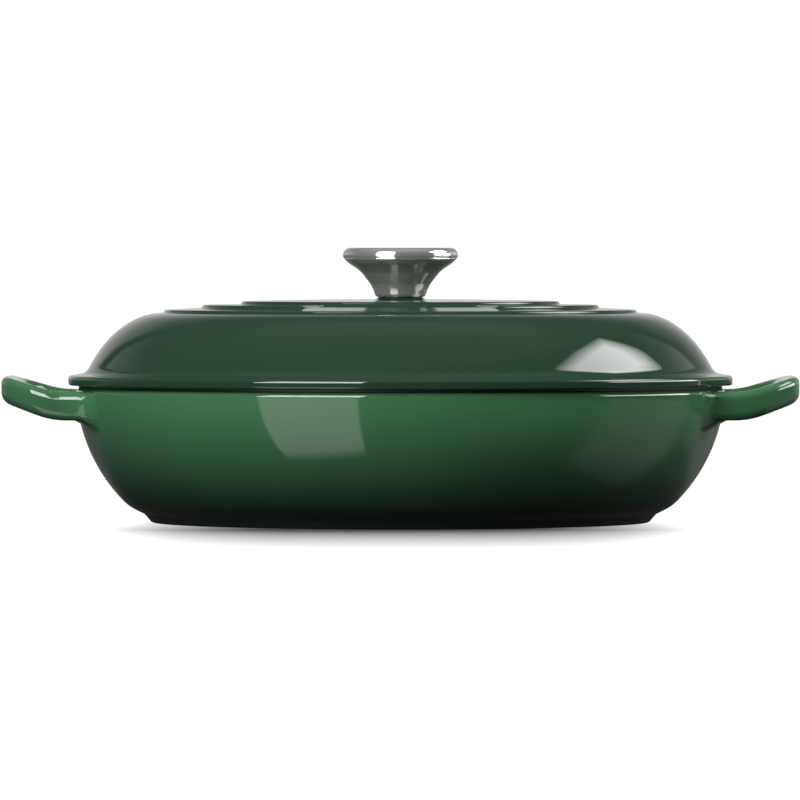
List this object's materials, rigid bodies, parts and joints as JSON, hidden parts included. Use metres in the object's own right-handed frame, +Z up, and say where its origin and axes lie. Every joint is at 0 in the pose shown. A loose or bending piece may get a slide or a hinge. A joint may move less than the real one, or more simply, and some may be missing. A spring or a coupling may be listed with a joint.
{
  "type": "braiser",
  "caption": "Shallow round casserole in green enamelled cast iron, with looped side handles and a domed, terraced lid that lifts off by a flared steel knob.",
  "frame": {"origin": "centre of the pot's foot, on the surface that it stands on", "axes": "+Z up; X through both handles; -Y is the front, where the lid's bare plaque is"},
  "size_m": [0.379, 0.316, 0.1306],
  "materials": {
    "enamelled_pot": "glossy green enamel outside, shading to nearly black at the foot; smooth sand-coloured enamel inside; matt black rim",
    "enamelled_lid": "glossy green enamel outside; smooth sand-coloured enamel inside; matt black seat",
    "polished_steel": null,
    "plain_steel": "plain turned stainless steel",
    "spring_steel": "dark spring steel"
  },
  "bodies": {
    "pot": {"pot": "enamelled_pot"},
    "lid": {"lid": "enamelled_lid", "knob_body": "polished_steel", "knob_cap": "polished_steel", "knob_bush": "plain_steel", "knob_screw": "plain_steel", "screw_flat_washer": "plain_steel", "screw_lock_washer": "spring_steel"}
  },
  "joints": [
    {"name": "lid_lift", "type": "slide", "parent": "pot", "child": "lid", "axis": [0, 0, 1], "range_m": [0, 0.15]}
  ]
}
